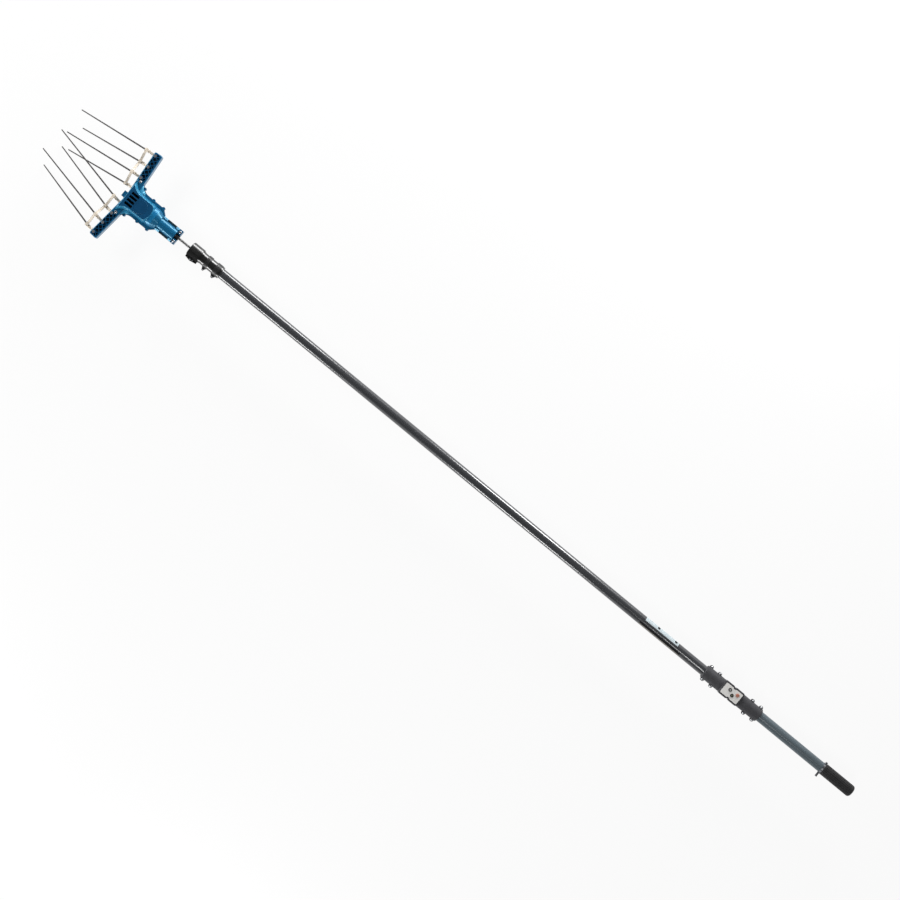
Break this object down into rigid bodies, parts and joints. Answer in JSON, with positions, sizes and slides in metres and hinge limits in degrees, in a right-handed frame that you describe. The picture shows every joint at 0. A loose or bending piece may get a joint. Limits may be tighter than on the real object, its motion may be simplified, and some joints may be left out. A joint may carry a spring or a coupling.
{
  "type": "electric olive harvester",
  "caption": "Long pole harvester: a motor head with two rows of swinging slim rods combs olives off branches, worked from a control handle and grip at the lower end.",
  "frame": {"origin": "middle of the grip's length, on the pole's axis", "axes": "+Y along the pole towards the rods, +Z out of the head's face with the vents and the panel, +X to the right seen from that face with the rods up"},
  "size_m": [0.2954, 2.8809, 0.1532],
  "materials": {
    "blue_shell": "satin moulding",
    "cap_blue": "matt",
    "steel": "zinc plated",
    "cream": "semi-matt moulding",
    "carbon": "satin",
    "black_rubber": "matt",
    "collar_black": "gloss",
    "sleeve_black": "satin",
    "graphite_tube": "anodised",
    "grey_tube": "anodised",
    "charcoal": "satin",
    "panel_white": "satin",
    "lamp_clear": "clear",
    "button_red": "gloss",
    "board_green": "lacquered",
    "wire_black": "matt",
    "bearing_steel": "ground",
    "core_iron": "bare",
    "plate_alloy": "bare",
    "gear_white": "bare"
  },
  "bodies": {
    "pole_and_head": {"lower_housing": "blue_shell", "upper_housing": "blue_shell", "round_cap": "cap_blue", "housing_screws": "steel", "finger_pins": "steel", "neck_bush": "black_rubber", "neck_tube": "steel", "neck_plug": "sleeve_black", "collar": "collar_black", "collar_screws": "steel", "clamp_sleeve": "sleeve_black", "sleeve_bands": "collar_black", "sleeve_screws": "steel", "upper_tube": "graphite_tube", "lower_tube": "grey_tube", "tube_joint": "plate_alloy", "handle_front": "charcoal", "handle_rear": "charcoal", "handle_screws": "steel", "control_panel": "panel_white", "lamp_bezels": "sleeve_black", "indicator_lamps": "lamp_clear", "push_switch": "sleeve_black", "circuit_board": "board_green", "motor_cable": "wire_black", "supply_lead": "wire_black", "supply_jack": "sleeve_black", "grip": "black_rubber", "grip_clip": "steel", "motor_plate": "plate_alloy", "motor_stator": "core_iron", "motor_bearings": "bearing_steel", "bearing_plate": "plate_alloy", "crank_bearings": "bearing_steel"},
    "finger_1": {"finger_1": "cream", "rod_1": "carbon"},
    "finger_2": {"finger_2": "cream", "rod_2": "carbon"},
    "finger_3": {"finger_3": "cream", "rod_3": "carbon"},
    "finger_4": {"finger_4": "cream", "rod_4": "carbon"},
    "finger_5": {"finger_5": "cream", "rod_5": "carbon"},
    "finger_6": {"finger_6": "cream", "rod_6": "carbon"},
    "finger_7": {"finger_7": "cream", "rod_7": "carbon"},
    "finger_8": {"finger_8": "cream", "rod_8": "carbon"},
    "left_link": {"left_link_bar": "cream"},
    "right_link": {"right_link_bar": "cream"},
    "cross_link": {"cross_link": "steel"},
    "rotor": {"motor_rotor": "steel", "pinion": "steel"},
    "reducer": {"reduction_gear": "gear_white", "crank": "steel"},
    "button": {"power_button": "button_red"}
  },
  "joints": [
    {"name": "comb_swing", "type": "hinge", "parent": "pole_and_head", "child": "finger_4", "pos_m": [-0.0273, 2.57183, 0], "axis": [0, 0, 1], "range_deg": [-9.7, 14.3]},
    {"name": "finger_1_swing", "type": "hinge", "parent": "pole_and_head", "child": "finger_1", "pos_m": [-0.1365, 2.58234, 0], "axis": [0, 0, 1], "range_deg": [-9.7, 14.3]},
    {"name": "finger_2_swing", "type": "hinge", "parent": "pole_and_head", "child": "finger_2", "pos_m": [-0.1001, 2.57884, 0], "axis": [0, 0, 1], "range_deg": [-9.7, 14.3]},
    {"name": "finger_3_swing", "type": "hinge", "parent": "pole_and_head", "child": "finger_3", "pos_m": [-0.0637, 2.57533, 0], "axis": [0, 0, 1], "range_deg": [-9.7, 14.3]},
    {"name": "finger_5_swing", "type": "hinge", "parent": "pole_and_head", "child": "finger_5", "pos_m": [0.0273, 2.57183, 0], "axis": [0, 0, 1], "range_deg": [-9.7, 14.3]},
    {"name": "finger_6_swing", "type": "hinge", "parent": "pole_and_head", "child": "finger_6", "pos_m": [0.0637, 2.57533, 0], "axis": [0, 0, 1], "range_deg": [-9.7, 14.3]},
    {"name": "finger_7_swing", "type": "hinge", "parent": "pole_and_head", "child": "finger_7", "pos_m": [0.1001, 2.57884, 0], "axis": [0, 0, 1], "range_deg": [-9.7, 14.3]},
    {"name": "finger_8_swing", "type": "hinge", "parent": "pole_and_head", "child": "finger_8", "pos_m": [0.1365, 2.58234, 0], "axis": [0, 0, 1], "range_deg": [-9.7, 14.3]},
    {"name": "left_link_turn", "type": "hinge", "parent": "finger_4", "child": "left_link", "pos_m": [-0.02271, 2.60148, 0.0075], "axis": [0, 0, 1], "range_deg": [-14.3, 9.7]},
    {"name": "right_link_turn", "type": "hinge", "parent": "finger_5", "child": "right_link", "pos_m": [0.0251, 2.60175, -0.0075], "axis": [0, 0, 1], "range_deg": [-14.3, 9.7]},
    {"name": "cross_link_turn", "type": "hinge", "parent": "finger_4", "child": "cross_link", "pos_m": [-0.02818, 2.54985, 0], "axis": [0, 0, 1], "range_deg": [-14.3, 9.7]},
    {"name": "motor_spin", "type": "hinge", "parent": "pole_and_head", "child": "rotor", "pos_m": [0, 2.52135, 0], "axis": [0, 0, 1], "continuous": true},
    {"name": "reducer_spin", "type": "hinge", "parent": "pole_and_head", "child": "reducer", "pos_m": [0, 2.54985, 0], "axis": [0, 0, 1], "continuous": true},
    {"name": "button_press", "type": "slide", "parent": "pole_and_head", "child": "button", "axis": [0, 0, -1], "range_m": [0, 0.0012], "stiffness_N_per_m": 400}
  ],
  "couplings": [
    {"joint": "finger_1_swing", "follows": "comb_swing", "ratio": 1},
    {"joint": "finger_2_swing", "follows": "comb_swing", "ratio": 1},
    {"joint": "finger_3_swing", "follows": "comb_swing", "ratio": 1},
    {"joint": "finger_5_swing", "follows": "comb_swing", "ratio": 1},
    {"joint": "finger_6_swing", "follows": "comb_swing", "ratio": 1},
    {"joint": "finger_7_swing", "follows": "comb_swing", "ratio": 1},
    {"joint": "finger_8_swing", "follows": "comb_swing", "ratio": 1},
    {"joint": "left_link_turn", "follows": "comb_swing", "ratio": -1},
    {"joint": "right_link_turn", "follows": "comb_swing", "ratio": -1},
    {"joint": "cross_link_turn", "follows": "comb_swing", "ratio": -1},
    {"joint": "reducer_spin", "follows": "motor_spin", "ratio": -0.35714}
  ]
}
